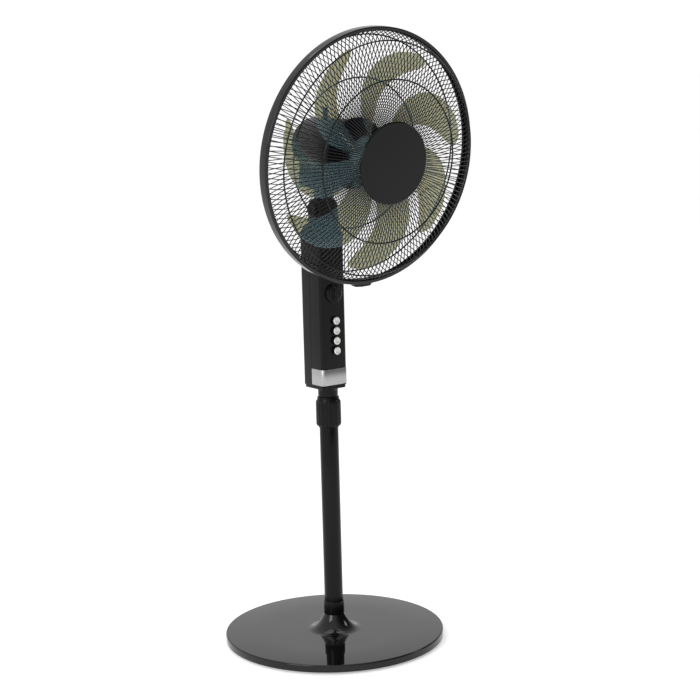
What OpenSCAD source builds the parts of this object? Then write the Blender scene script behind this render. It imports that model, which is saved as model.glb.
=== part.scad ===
// Pedestal fan: weighted round base, telescopic pole, control box with four keys and a timer,
// and a tilting, swinging head with a seven-petal blade inside a wire guard.
// The fan blows towards -Y. The origin is on the floor under the pole's axis. Millimetres.

/* [Base] */
// Diameter of the round base
base_d = 400; // [360:5:420]
// Height of the base's top face above the floor
base_top = 17; // [15:1:22]
// Height of the rubber feet under the base
foot_h = 3; // [2:0.5:5]
// Height of the boss that rises round the pole
boss_top = 46; // [40:1:60]

/* [Pole] */
// Outer diameter of the lower tube
tube_d = 34; // [32:1:36]
// Outer diameter of the sliding inner tube
inner_d = 26; // [24:0.5:27]
// Height of the lower tube's top end
tube_top = 396; // [380:2:420]
// Diameter of the ribbed height collar
collar_d = 45.5; // [43:0.5:50]
// Height of the ribbed height collar
collar_h = 53; // [48:1:58]

/* [Control box] */
// Width of the control box
box_w = 55; // [50:1:64]
// Distance from the pole's axis to the box's front face
box_front_y = 24; // [22:1:28]
// Distance from the pole's axis to the box's back face
box_back_y = 37; // [33:1:42]
// Height of the box's lower edge
box_bottom = 473; // [468:1:480]
// Height of the box's top
box_top = 770; // [760:1:776]
// Radius of the box's upright corners
box_r = 7; // [5:0.5:9]
// Diameter of the push keys
key_d = 15.5; // [12:0.5:17]
// Distance from one push key to the next
key_pitch = 18; // [17.5:0.5:22]
// Height of the lowest push key
key_low = 538; // [530:1:545]
// Height of the timer knob
timer_z = 641; // [630:1:650]
// Diameter of the timer knob
timer_d = 34; // [28:1:36]

/* [Head] */
// Height of the tilt bolt
tilt_z = 790; // [786:1:796]
// Downward tilt of the head at rest, in degrees
tilt = 7.6; // [0:0.2:12]
// Height of the fan axis above the tilt bolt, square to it
axis_up = 112; // [110:1:118]
// Outer diameter of the guard
guard_d = 440; // [420:5:460]
// Distance from the swing axis to the guard ring's front edge
ring_front = 133; // [130:1:138]
// Width of the guard ring
ring_w = 18.6; // [16:0.2:20]
// Depth of the front grille ahead of the ring
dome_h = 57; // [52:1:60]
// Diameter of the round front cap
cap_d = 140; // [136:1:146]
// Number of wires that stand for each grille's full set
wires = 48; // [36:6:90]
// Diameter of a grille wire
wire_d = 2; // [1.4:0.1:2.4]
// Radius of the blade's tips
blade_r = 192; // [180:1:194]
// Number of blade petals
petals = 7; // [5:1:7]

/* [Hidden] */
$fn = 64;

wall = 2.4;
foot_r = 172;
tube_r = tube_d / 2;
inner_r = inner_d / 2;
bush_r = 18.5;
collar_z = tube_top + 3;
socket_z = collar_z + collar_h + 0.6;
socket_r = 18;
socket_top = 518;
split_y = 9;
band_low = 476;
band_high = 505;
band_t = 1.6;
key_r = key_d / 2;
key_gap = 0.35;
key_proud = 7;
key_x = 2;
key_travel = 3.5;
key_names = ["off_key", "low_key", "medium_key", "high_key"];
ear_r = 20;
ear_in = 12;
ear_out = 19;
bolt_r = 4;
pin_r = 5;
shaft_r = 4;
guard_r = guard_d / 2;
ring_rear = ring_front - ring_w;
ring_wall = 2.2;
wire_r = wire_d / 2;
rim_wire_r = 2.1;
bead = 0.5;
rim_r = guard_r - ring_wall - rim_wire_r - 1.4;
front_rim_z = ring_front - 4.2;
rear_rim_z = ring_rear + 4.2;
front_hub_r = 64;
front_hub_z = ring_front + dome_h - 3;
rear_plate_r = 62;
rear_plate_z = 84;
motor_r = 54;
motor_front = 60;
gear_x = 15;
gear_z = -28;
stator_r = 38;
swing_knob_z = -7;
crank_r = 7.7;
stud_x = 12;
chin_low = 36;
chin_back = 36;
chin_r = 28;

// The head's own frame: its origin is on the tilt bolt, its Z axis is the swing axis.
module in_head() {
    translate([0, 0, tilt_z]) rotate([tilt, 0, 0]) children();
}

// The fan's frame: Z runs forward along the fan axis, Y is up and the swing axis is at Z = 0.
module on_fan_axis() {
    in_head() translate([0, 0, axis_up]) rotate([90, 0, 0]) children();
}

module ring(r_out, r_in, h) {
    difference() {
        cylinder(r = r_out, h = h);
        translate([0, 0, -1]) cylinder(r = r_in, h = h + 2);
    }
}

module tube_along_y(r_out, r_in, y0, y1) {
    translate([0, y1, 0]) rotate([90, 0, 0]) ring(r_out, r_in, y1 - y0);
}

// A round-wire hoop of radius r at height z.
module hoop(r, z, wr) {
    rotate_extrude($fn = 180) translate([r, z]) circle(r = wr, $fn = 24);
}

// ---- Base ----

// Cast weight that keeps the stand upright.
module base_weight() {
    color([0.16, 0.16, 0.17]) difference() {
        translate([0, 0, 4]) cylinder(r = 186, h = 4.6);
        translate([0, 0, 3]) cylinder(r = 8.2, h = 10);
    }
}

// Glossy moulded cover: a flat top, a short skirt and a boss that sweeps up to the pole.
module base_cover() {
    r = base_d / 2;
    color([0.02, 0.02, 0.025]) difference() {
        rotate_extrude($fn = 180) polygon(concat(
            [[0, 3.4], [r - 2, 3.4], [r - 0.4, 5], [r, 8], [r, base_top - 2.5], [r - 0.7, base_top - 0.7],
             [r - 2.5, base_top]],
            [for (i = [0:10]) let (t = i / 10) [52 - 34 * t, base_top + (boss_top - base_top) * pow(t, 2.4)]],
            [[0, boss_top]]));
        translate([0, 0, 2]) rotate_extrude($fn = 180)
            polygon([[0, 0], [r - wall - 2, 0], [r - wall - 2, base_top - 2 - wall], [0, base_top - 2 - wall]]);
        translate([0, 0, 10]) cylinder(r = 8.2, h = 50);
    }
}

module rubber_feet() {
    color([0.05, 0.05, 0.05]) for (a = [0:60:300]) rotate([0, 0, a + 8]) translate([foot_r, 0, 0])
        cylinder(r = 11, h = 4);
}

// Long bolt with a washer head that clamps the pole to the base from below.
module base_bolt() {
    color([0.6, 0.6, 0.62]) union() {
        translate([0, 0, 1.2]) cylinder(r = 12, h = 2.8, $fn = 6);
        translate([0, 0, 3]) cylinder(r = 8, h = 57);
    }
}

// ---- Pole ----

// Moulded collar that covers the joint of pole and base.
module ferrule() {
    color([0.03, 0.03, 0.035]) difference() {
        union() {
            translate([0, 0, boss_top]) cylinder(r = 18.6, h = 23);
            translate([0, 0, boss_top + 23]) cylinder(r1 = 18.6, r2 = 17.8, h = 1.5, $fn = 64);
        }
        translate([0, 0, boss_top - 1]) cylinder(r = tube_r + 0.05, h = 30);
    }
}

module outer_tube() {
    color([0.03, 0.03, 0.035]) difference() {
        translate([0, 0, boss_top]) cylinder(r = tube_r, h = tube_top - boss_top);
        translate([0, 0, boss_top + 14]) cylinder(r = tube_r - 2, h = tube_top);
        translate([0, 0, boss_top - 1]) cylinder(r = 8.05, h = 20);
    }
}

// Plastic guide on the bottom of the sliding tube.
module tube_guide() {
    color([0.75, 0.75, 0.72]) translate([0, 0, 104]) difference() {
        union() {
            cylinder(r = tube_r - 2.05, h = 16);
            translate([0, 0, 15.9]) cylinder(r = inner_r - 1.55, h = 14);
        }
        translate([0, 0, -1]) cylinder(r = 8, h = 40);
    }
}

// Bush at the top of the lower tube: a spigot inside the tube and a shoulder above it.
module collar_bush() {
    color([0.1, 0.1, 0.1]) difference() {
        union() {
            translate([0, 0, tube_top - 26]) cylinder(r = tube_r - 2.05, h = 26.2);
            translate([0, 0, tube_top + 0.1]) cylinder(r = bush_r, h = 36);
        }
        translate([0, 0, tube_top - 30]) cylinder(r = inner_r + 0.05, h = 80);
    }
}

// Ribbed nut that clamps the inner tube at the height the user sets.
module height_collar() {
    r = collar_d / 2;
    color([0.04, 0.04, 0.045]) translate([0, 0, collar_z]) difference() {
        union() {
            rotate_extrude() polygon([[0, 0], [r - 1.6, 0], [r - 0.8, 2], [r - 0.8, collar_h - 12],
                [r - 2.5, collar_h - 3], [r - 4.5, collar_h], [0, collar_h]]);
            for (a = [0:20:340]) rotate([0, 0, a]) translate([r - 1.4, 0, 3]) cylinder(r = 1.4, h = collar_h - 16);
        }
        translate([0, 0, -1]) cylinder(r = bush_r + 0.3, h = collar_h - 6);
        translate([0, 0, collar_h - 8]) cylinder(r = inner_r + 0.4, h = 20);
    }
}

module inner_tube() {
    color([0.62, 0.62, 0.64]) translate([0, 0, 120]) ring(inner_r, inner_r - 1.5, 395);
}

// Sleeve under the control box that holds the inner tube, with the plate that closes the box's bottom.
module pole_socket() {
    color([0.04, 0.04, 0.045]) difference() {
        union() {
            translate([0, 0, socket_z]) cylinder(r = socket_r, h = socket_top - socket_z);
            translate([0, 0, box_bottom - 5]) linear_extrude(4.9) box_plan(1.8);
        }
        translate([0, 0, socket_z - 1]) cylinder(r = inner_r + 0.02, h = 200);
    }
}

// ---- Control box ----

module box_plan(inset) {
    r = box_r - inset;
    x = box_w / 2 - box_r;
    y0 = -box_front_y + box_r;
    y1 = box_back_y - box_r;
    union() {
        for (px = [-x, x], py = [y0, y1]) translate([px, py]) circle(r = r);
        translate([-x - r, y0]) square([2 * (x + r), y1 - y0]);
        translate([-x, y0 - r]) square([2 * x, y1 - y0 + 2 * r]);
    }
}

// Outline of a box with round top corners, seen square on: half width w, from height a to b.
module round_top(w, a, b, r) {
    translate([-w, a]) square([2 * w, b - a - r]);
    translate([-w + r, a]) square([2 * (w - r), b - a]);
    for (s = [-1, 1]) translate([s * (w - r), b - r]) circle(r = r);
}

// The box's whole outer form, smaller all round by the inset.
module box_form(inset) {
    mid = (box_back_y - box_front_y) / 2;
    half = (box_back_y + box_front_y) / 2 - inset;
    top = box_top - inset;
    intersection() {
        translate([0, 0, box_bottom + inset]) linear_extrude(top - box_bottom - inset) box_plan(inset);
        translate([0, 60, 0]) rotate([90, 0, 0]) linear_extrude(120)
            round_top(box_w / 2 - inset, box_bottom - 10, top, 23);
        translate([-60, mid, 0]) rotate([90, 0, 90]) linear_extrude(120)
            round_top(half, box_bottom - 10, top, 26);
    }
}

// What both halves leave free: the hollow inside, the pole's hole and the window for the tilt joint.
module box_space() {
    box_form(wall);
    translate([0, 0, box_bottom - 1]) cylinder(r = socket_r + 0.1, h = 10);
    translate([-ear_out - 0.6, -ear_r - 0.6, box_top - 30]) cube([2 * ear_out + 1.2, 2 * ear_r + 1.2, 40]);
}

// Recess round the lower front that the silver band fills.
module band_seat(gap) {
    translate([0, 0, band_low - gap]) linear_extrude(band_high - band_low + 2 * gap) difference() {
        translate([-60, -60]) square([120, 60 + split_y]);
        box_plan(1.0 - gap);
    }
}

module box_front() {
    color([0.035, 0.035, 0.04]) difference() {
        box_form(0);
        box_space();
        translate([-60, split_y, 0]) cube([120, 100, 1000]);
        band_seat(0);
        for (i = [0:3]) translate([key_x, 0, key_low + i * key_pitch])
            tube_along_y(key_r + key_gap, 0, -box_front_y - 5, 0);
        translate([0, 0, timer_z]) tube_along_y(4.2, 0, -box_front_y - 5, 0);
        translate([0, 0, timer_z]) tube_along_y(timer_d / 2 + 0.6, 0, -box_front_y - 5, -box_front_y + 1);
    }
}

module box_rear() {
    color([0.035, 0.035, 0.04]) difference() {
        box_form(0);
        box_space();
        translate([-60, split_y - 99.97, 0]) cube([120, 100, 1000]);
        translate([0, 0, 492]) tube_along_y(5.05, 0, 20, 60);
        for (x = [-18, 18], z = [520, 720]) translate([x, 0, z]) tube_along_y(2.1, 0, 20, 60);
    }
}

module silver_band() {
    color([0.66, 0.66, 0.67]) translate([0, 0, band_low + 0.05])
        linear_extrude(band_high - band_low - 0.1) difference() {
            intersection() {
                offset(delta = band_t - 1.0) box_plan(0);
                translate([-60, -60]) square([120, 60 + split_y - 0.1]);
            }
            box_plan(0.95);
        }
}

// Speed switch bank behind the keys.
module switch_block() {
    color([0.85, 0.83, 0.75]) translate([-13, -7.2, key_low - 12])
        cube([26, 14, 3 * key_pitch + 24]);
}

// Clockwork timer behind the dial, with its spindle.
module timer_unit() {
    color([0.8, 0.8, 0.78]) translate([0, 0, timer_z]) union() {
        tube_along_y(19, 0, -14, 12);
        tube_along_y(3, 0, -box_front_y - 4, -13);
    }
}

// Bushed cord inlet at the back of the box.
module cord_gland() {
    color([0.06, 0.06, 0.06]) translate([0, 0, 492]) difference() {
        union() {
            tube_along_y(5, 0, box_back_y - 6, box_back_y + 1);
            tube_along_y(7.5, 0, box_back_y, box_back_y + 3);
            tube_along_y(6.4, 0, box_back_y - 6, box_back_y - 2.5);
        }
        tube_along_y(3.6, 0, 0, 80);
    }
}

module box_screws() {
    color([0.5, 0.5, 0.52]) for (x = [-18, 18], z = [520, 720]) translate([x, 0, z]) union() {
        tube_along_y(2, 0, 16, box_back_y - 1);
        tube_along_y(3.6, 0, box_back_y - 0.8 + 0.8, box_back_y + 1.4);
        tube_along_y(2, 0, box_back_y - 2, box_back_y + 1);
    }
}

// One push key: a domed cap on a stem that reaches back to its switch.
module key(i) {
    color([0.72, 0.72, 0.73]) translate([key_x, 0, key_low + i * key_pitch]) rotate([90, 0, 0])
        translate([0, 0, box_front_y]) rotate_extrude() polygon(concat(
            [[0, -12.5], [3, -12.5], [3, -7], [key_r, -7], [key_r, key_proud - 2.2]],
            [for (t = [20:10:90]) [key_r * cos(t), key_proud - 2.2 + 2.2 * sin(t)]]));
}

// Timer knob: a round skirt with a grip bar across it.
module timer_knob() {
    r = timer_d / 2;
    color([0.03, 0.03, 0.035]) translate([0, -box_front_y, timer_z]) rotate([90, 0, 0]) difference() {
        union() {
            translate([0, 0, 0.35]) cylinder(r = r, h = 3.2);
            translate([0, 0, 3.5]) cylinder(r1 = r - 1.5, r2 = r - 3, h = 3, $fn = 64);
            intersection() {
                translate([-3.5, -20, 3]) cube([7, 40, 9]);
                cylinder(r = r - 2, h = 20);
            }
        }
        translate([0, 0, -1]) cylinder(r = 3.05, h = 6);
    }
}

// ---- Tilt joint and neck ----

// Clevis fixed in the top of the box: two round cheeks on a block.
module tilt_clevis() {
    color([0.05, 0.05, 0.055]) difference() {
        union() {
            for (s = [-1, 1]) translate([s > 0 ? ear_in : -ear_out, 0, tilt_z]) rotate([0, 90, 0])
                cylinder(r = ear_r - 0.4, h = ear_out - ear_in);
            for (s = [-1, 1]) translate([s > 0 ? ear_in : -ear_out, -ear_r + 0.4, 742])
                cube([ear_out - ear_in, 2 * ear_r - 0.8, tilt_z - 742]);
            translate([-ear_out, -ear_r + 0.4, 724]) cube([2 * ear_out, 2 * ear_r - 0.8, 20]);
        }
        translate([-50, 0, tilt_z]) rotate([0, 90, 0]) cylinder(r = bolt_r + 0.05, h = 100);
    }
}

module tilt_bolt() {
    color([0.6, 0.6, 0.62]) union() {
        translate([-ear_out - 4.6, 0, tilt_z]) rotate([0, 90, 0]) cylinder(r = bolt_r, h = 2 * ear_out + 6);
        translate([ear_out + 0.05, 0, tilt_z]) rotate([0, 90, 0]) cylinder(r = 7.5, h = 5);
    }
}

// Round hand knob on the tilt bolt.
module tilt_knob() {
    color([0.04, 0.04, 0.045]) translate([-ear_out - 0.4, 0, tilt_z]) rotate([0, -90, 0]) difference() {
        union() {
            rotate_extrude() polygon(concat([[0, 0], [12.6, 0], [13.2, 1], [13.2, 5]],
                [for (t = [15:15:90]) [6 + 7.2 * cos(t), 5 + 2.6 * sin(t)]], [[0, 7.6]]));
            for (a = [0:30:330]) rotate([0, 0, a]) translate([12.8, 0, 1.2]) cylinder(r = 1.1, h = 3.8);
        }
        translate([0, 0, -1]) cylinder(r = bolt_r + 0.05, h = 6);
    }
}

// Neck casting: an eye between the cheeks and a round post that carries the swing pin.
module neck() {
    color([0.04, 0.04, 0.045]) in_head() difference() {
        union() {
            translate([-ear_in + 0.4, 0, 0]) rotate([0, 90, 0]) cylinder(r = 19, h = 2 * ear_in - 0.8);
            translate([-ear_in + 0.4, -15, 4]) cube([2 * ear_in - 0.8, 30, 22]);
            translate([0, 0, 23]) cylinder(r = 18, h = 11);
        }
        translate([-50, 0, 0]) rotate([0, 90, 0]) cylinder(r = bolt_r + 0.05, h = 100);
        translate([0, 0, 8]) cylinder(r = pin_r + 0.02, h = 40);
        translate([stud_x, 0, 26]) cylinder(r = 2.02, h = 20);
    }
}

module swing_pin() {
    color([0.7, 0.7, 0.72]) in_head() union() {
        translate([0, 0, 8.2]) cylinder(r = pin_r, h = 60);
        translate([0, 0, 34.1]) cylinder(r = 6.5, h = 9.7);
    }
}

module swing_stud() {
    color([0.7, 0.7, 0.72]) in_head() translate([stud_x, 0, 26.2]) cylinder(r = 2, h = 9);
}

// ---- Motor ----

// Casting that turns on the swing pin and carries the motor.
module swing_bracket() {
    color([0.5, 0.5, 0.52]) in_head() difference() {
        union() {
            translate([0, 0, 44.2]) cylinder(r = 10, h = 26.3);
            translate([-16, -50, 67]) cube([32, 58, 3.5]);
            translate([-15, -54, 67]) cube([30, 22, 13]);
        }
        translate([0, 0, 40]) cylinder(r = pin_r + 0.05, h = 40);
        translate([0, 0, axis_up]) rotate([90, 0, 0]) cylinder(r = stator_r + 0.05, h = 80);
    }
}

// Plan of the chin below the housing, smaller all round by g: wide round the swing axis and round the crank.
module chin_plan(g) {
    circle(r = chin_r - g);
    translate([2, chin_back]) circle(r = chin_r - 2 - g);
    polygon([[g - chin_r, 0], [chin_r - g, 0], [chin_r - g, chin_back], [g - chin_r + 4, chin_back]]);
}

// Form of the rear housing, smaller all round by g: round, a little narrower and domed at the back, with the
// chin under it.
module housing_form(g) {
    back_r = 44 - g;
    on_fan_axis() rotate_extrude($fn = 96) polygon(concat(
        [for (t = [0:10:90]) [back_r * sin(t), (g - 22) * cos(t) - 38]],
        [[48.5 - g, 0], [motor_r - g, 47], [motor_r - g, motor_front], [0, motor_front]]));
    in_head() translate([0, 0, chin_low + g]) linear_extrude(axis_up - chin_low - g) chin_plan(g);
}

// Moulded rear housing: one deep shell over motor, gears and swing linkage.
module rear_housing() {
    color([0.045, 0.045, 0.05]) difference() {
        housing_form(0);
        housing_form(wall);
        on_fan_axis() translate([0, 0, motor_front - 6]) cylinder(r = motor_r - wall, h = 20);
        in_head() translate([0, 0, chin_low - 1]) cylinder(r = 20, h = 8);
        on_fan_axis() translate([0, 20, swing_knob_z]) rotate([-90, 0, 0]) cylinder(r = 5, h = 60);
        on_fan_axis() for (x = [-24:8:24]) translate([x - 1.4, -22, -70]) cube([2.8, 44, 30]);
    }
}

// Front cover of the motor with the threaded nose that the grille nut screws onto.
module front_motor_cover() {
    color([0.05, 0.05, 0.055]) on_fan_axis() difference() {
        rotate_extrude($fn = 96) polygon([[0, motor_front + 0.1], [motor_r, motor_front + 0.1],
            [motor_r, 68], [motor_r - 4, 75], [motor_r - 12, 80], [24, 82.5], [24, 83.9], [17, 83.9],
            [17, 104], [0, 104]]);
        translate([0, 0, motor_front - 1]) cylinder(r = motor_r - 8, h = 14);
        translate([0, 0, 60]) cylinder(r = 7.52, h = 60);
    }
}

module stator() {
    color([0.35, 0.35, 0.37]) on_fan_axis() translate([0, 0, 25]) difference() {
        cylinder(r = stator_r, h = 32);
        translate([0, 0, -1]) cylinder(r = 22.6, h = 40);
        for (a = [0:30:330]) rotate([0, 0, a]) translate([22, -1.5, -1]) cube([7, 3, 40]);
    }
}

module motor_windings() {
    color([0.6, 0.3, 0.15]) on_fan_axis() union() {
        for (z = [14.9, 57.1]) translate([0, 0, z]) ring(34, 25, 10);
        for (a = [0:30:330]) rotate([0, 0, a]) translate([25.4, -1.4, 15]) cube([3.4, 2.8, 52]);
    }
}

module bearing_at(z, h) {
    on_fan_axis() translate([0, 0, z]) ring(7.5, shaft_r + 0.03, h);
}

module front_bearing() {
    color([0.72, 0.6, 0.35]) bearing_at(88, 14);
}

module rear_bearing() {
    color([0.72, 0.6, 0.35]) bearing_at(-6, 9);
}

// Bridge at the back of the motor: it holds the rear bearing, and the crank's bush on an arm.
module gear_case() {
    color([0.55, 0.55, 0.57]) difference() {
        union() {
            on_fan_axis() translate([-24, -36, -5]) cube([48, 58, 6]);
            in_head() translate([gear_x, -gear_z, axis_up - 52]) cylinder(r = 7, h = 33.6);
            in_head() translate([gear_x - 5, 4, axis_up - 32]) cube([10, -gear_z - 4, 12]);
        }
        on_fan_axis() translate([0, 0, -10]) cylinder(r = 7.52, h = 20);
        in_head() translate([gear_x, -gear_z, axis_up - 60]) cylinder(r = 3.05, h = 50);
    }
}

module rotor() {
    color([0.5, 0.5, 0.52]) on_fan_axis() translate([0, 0, 26]) ring(22, shaft_r, 30);
}

// Shaft with a worm near its back end and a flat, threaded nose for the blade nut.
module motor_shaft() {
    color([0.75, 0.75, 0.77]) on_fan_axis() difference() {
        union() {
        translate([0, 0, gear_z - 10]) cylinder(r = shaft_r - 0.6, h = 30);
        translate([0, 0, -10]) cylinder(r = shaft_r, h = 184);
        for (i = [-2:1]) translate([0, 0, gear_z + 4 * i + 1.5]) cylinder(r1 = shaft_r - 0.7, r2 = 4.4, h = 1, $fn = 64);
        }
        translate([-9, 0, 119]) rotate([0, 90, 0]) cylinder(r = 1.51, h = 18);
    }
}

// Cross pin that drives the blade's hub.
module drive_pin() {
    color([0.75, 0.75, 0.77]) on_fan_axis() translate([-9, 0, 119]) rotate([0, 90, 0])
        cylinder(r = 1.5, h = 18);
}

module worm_wheel() {
    teeth = 24;
    color([0.9, 0.88, 0.8]) in_head() translate([gear_x, -gear_z, axis_up - 4]) difference() {
        union() {
            cylinder(r = 9, h = 8);
            for (i = [0:teeth - 1]) rotate([0, 0, i * 360 / teeth]) translate([8, -0.7, 0]) cube([2.2, 1.4, 8]);
            translate([0, 0, -14]) cylinder(r = 5.5, h = 14);
        }
        translate([0, 0, -20]) cylinder(r = 3.05, h = 40);
    }
}

// Crank: a spindle through the worm wheel, a disc under the case and an off-centre pin.
module crank() {
    color([0.7, 0.7, 0.72]) in_head() union() {
        translate([gear_x, -gear_z, 49]) cylinder(r = 3, h = 68);
        translate([gear_x, -gear_z, 46]) cylinder(r = 10.5, h = 4);
        translate([gear_x - crank_r, -gear_z, 39]) cylinder(r = 2, h = 9);
    }
}

// Flat link from the crank's pin to the stud on the neck.
module crank_link() {
    dx = gear_x - crank_r - stud_x;
    dy = -gear_z;
    reach = sqrt(dx * dx + dy * dy);
    color([0.7, 0.7, 0.72]) in_head() translate([gear_x - crank_r, dy, 39.2]) rotate([0, 0, atan2(-dy, -dx)])
        difference() {
            union() {
                cylinder(r = 4.2, h = 2.4);
                translate([0, -3, 0]) cube([reach - 9, 6, 2.4]);
            }
            translate([0, 0, -1]) cylinder(r = 2.05, h = 6);
        }
}

// Pull knob on top of the housing: pressed down it couples the crank, pulled up it lets the head stand still.
module swing_knob() {
    color([0.04, 0.04, 0.045]) on_fan_axis() translate([0, 0, swing_knob_z]) rotate([-90, 0, 0]) union() {
        translate([0, 0, 38]) cylinder(r = 4.5, h = 27);
        translate([0, 0, 65]) cylinder(r1 = 4.5, r2 = 3.3, h = 1.2, $fn = 64);
    }
}

// ---- Guard ----

// One bent wire in the plane of the fan axis: steep and straight from the rim to the shoulder, then a
// circular arc to the hub that stands sag millimetres proud of its chord. Points are [radius, forward].
module bent_wire(rim, shoulder, hub, sag) {
    c = norm(hub - shoulder);
    rad = (c * c / 4 + sag * sag) / (2 * sag);
    half = asin(c / 2 / rad);
    u = (hub - shoulder) / c;
    n = [u[1], -u[0]] * (hub[1] > rim[1] ? 1 : -1);
    o = (shoulder + hub) / 2 - n * (rad - sag);
    translate([o[0], 0, o[1]]) rotate([90, 0, 0]) rotate([0, 0, atan2(n[1], n[0]) - half])
        rotate_extrude(angle = 2 * half, $fn = 96) translate([rad, 0]) circle(r = wire_r, $fn = 16);
    step = shoulder - rim;
    translate([rim[0], 0, rim[1]]) rotate([0, atan2(step[0], step[1]), 0]) cylinder(r = wire_r, h = norm(step), $fn = 16);
    translate([shoulder[0], 0, shoulder[1]]) rotate([90, 0, 0]) sphere(r = wire_r + bead, $fn = 16);
}

module rear_grille() {
    color([0.03, 0.03, 0.035]) on_fan_axis() union() {
        hoop(rim_r, rear_rim_z, rim_wire_r);
        hoop(203.5, rear_rim_z - 20.6, 1.3);
        hoop(130, rear_rim_z - 33.1, 1.3);
        translate([0, 0, rear_plate_z]) ring(rear_plate_r, 19, 2.4);
        for (i = [0:wires - 1]) rotate([0, 0, i * 360 / wires])
            bent_wire([rim_r - 0.4, rear_rim_z + 0.2], [205, rear_rim_z - 18.2], [rear_plate_r - 1.5, rear_plate_z + 1.2], 4.9);
    }
}

// Ring nut that holds the rear grille on the motor's nose.
module grille_nut() {
    color([0.04, 0.04, 0.045]) on_fan_axis() translate([0, 0, rear_plate_z + 2.5]) difference() {
        union() {
            cylinder(r = 30, h = 3);
            cylinder(r = 24, h = 12);
            for (a = [0:30:330]) rotate([0, 0, a]) translate([24, 0, 0]) cylinder(r = 2, h = 11);
        }
        translate([0, 0, -1]) cylinder(r = 17.05, h = 20);
    }
}

// Moulded channel that closes over the rims of both grilles.
module guard_ring() {
    r = guard_r;
    lip = 5.8;
    t = 1.9;
    color([0.03, 0.03, 0.035]) on_fan_axis() rotate_extrude($fn = 240) polygon([
        [r - lip, ring_rear], [r - 2, ring_rear], [r - 0.5, ring_rear + 0.6], [r, ring_rear + 2],
        [r, ring_front - 2], [r - 0.5, ring_front - 0.6], [r - 2, ring_front], [r - lip, ring_front],
        [r - lip, ring_front - t], [r - ring_wall, ring_front - t], [r - ring_wall, ring_rear + t],
        [r - lip, ring_rear + t]]);
}

// Clip at the bottom that pulls the ring's ends together.
module ring_clip() {
    color([0.04, 0.04, 0.045]) on_fan_axis() translate([-20, -guard_r - 5, ring_rear + 1]) difference() {
        cube([36, 6.4, ring_w - 2]);
        translate([20, 10, (ring_w - 2) / 2]) rotate([90, 0, 0]) cylinder(r = 1.6, h = 20);
        translate([20, guard_r + 5, -1]) cylinder(r = guard_r + 0.02, h = 40, $fn = 240);
    }
}

module clip_screw() {
    color([0.6, 0.6, 0.62]) on_fan_axis() translate([0, -guard_r - 7, ring_rear + ring_w / 2]) rotate([-90, 0, 0])
        union() {
            cylinder(r = 3, h = 1.9);
            cylinder(r = 1.5, h = 5);
        }
}

module front_grille() {
    color([0.03, 0.03, 0.035]) on_fan_axis() union() {
        hoop(rim_r, front_rim_z, rim_wire_r);
        hoop(199, ring_front + 22, 1.3);
        hoop(138, ring_front + 46, 1.3);
        hoop(front_hub_r, front_hub_z, 2);
        for (i = [0:wires - 1]) rotate([0, 0, (i + 0.5) * 360 / wires])
            bent_wire([rim_r - 0.4, front_rim_z - 0.2], [204, ring_front + 17], [front_hub_r + 1, front_hub_z], 8.9);
    }
}

// Round front cap with a shallow crown.
module front_cap() {
    r = cap_d / 2;
    z0 = ring_front + dome_h - 9;
    color([0.02, 0.02, 0.025]) on_fan_axis() rotate_extrude($fn = 120) polygon(concat(
        [[0, z0 + 8.8], [r - 12.2, z0 + 8.2], [r - 12.2, z0 + 2.8], [r - 9.9, z0 + 2.8], [r - 9.9, z0 + 8.4],
         [r - 2.4, z0 + 7.7], [r, z0 + 7.7]],
        [for (t = [0:15:75]) [r - 3 + 3 * cos(t), z0 + 8 + 3 * sin(t)]],
        [for (i = [0:8]) let (q = (r - 3.2) * (1 - i / 8)) [q, z0 + 12.4 - 1.5 * pow(q / r, 2)]]));
}

// ---- Blade ----

// A petal is a thin sheet. At radius q its middle lies at a swept angle, its width is a share of the
// circle that closes in towards the tip, and its pitch flattens from root to tip.
petal_n = 12;
petal_m = 6;
petal_t = 2;
root_r = 30;
blade_z = 129;
function petal_q(i) = root_r + (blade_r - root_r) * sin(90 * i / petal_n);
function petal_mid(q) = 98.3 - 0.0026 * pow(max(q - 70, 0), 2);
function petal_half(q) = 15.8 * sqrt(max(0.0009, 1 - pow(max(q - 140, 0) / (blade_r - 139.5), 3)));
function petal_rise(q) = 11 - 4.5 * pow(q / blade_r, 2);
function petal_point(i, j, side) = let (q = petal_q(i), s = 2 * j / petal_m - 1,
    a = petal_mid(q) + s * petal_half(q),
    z = blade_z + petal_rise(q) * s * min(1, petal_half(q) / 9) + 3 * (1 - s * s) + side * petal_t / 2)
    [q * cos(a), q * sin(a), z];
petal_points = [for (side = [-1, 1], i = [0:petal_n], j = [0:petal_m]) petal_point(i, j, side)];
petal_row = petal_m + 1;
petal_sheet = petal_row * (petal_n + 1);
petal_edge = concat([for (i = [0:petal_n - 1]) i * petal_row],
    [for (j = [0:petal_m - 1]) petal_n * petal_row + j],
    [for (i = [petal_n:-1:1]) i * petal_row + petal_m], [for (j = [petal_m:-1:1]) j]);
petal_faces = concat(
    [for (i = [0:petal_n - 1], j = [0:petal_m - 1]) let (k = i * petal_row + j) each
        [[k, k + petal_row, k + 1], [k + 1, k + petal_row, k + petal_row + 1]]],
    [for (i = [0:petal_n - 1], j = [0:petal_m - 1]) let (k = petal_sheet + i * petal_row + j) each
        [[k, k + 1, k + petal_row], [k + 1, k + petal_row + 1, k + petal_row]]],
    [for (e = [0:len(petal_edge) - 1]) let (a = petal_edge[e], b = petal_edge[(e + 1) % len(petal_edge)]) each
        [[a, a + petal_sheet, b], [b, a + petal_sheet, b + petal_sheet]]]);

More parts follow.
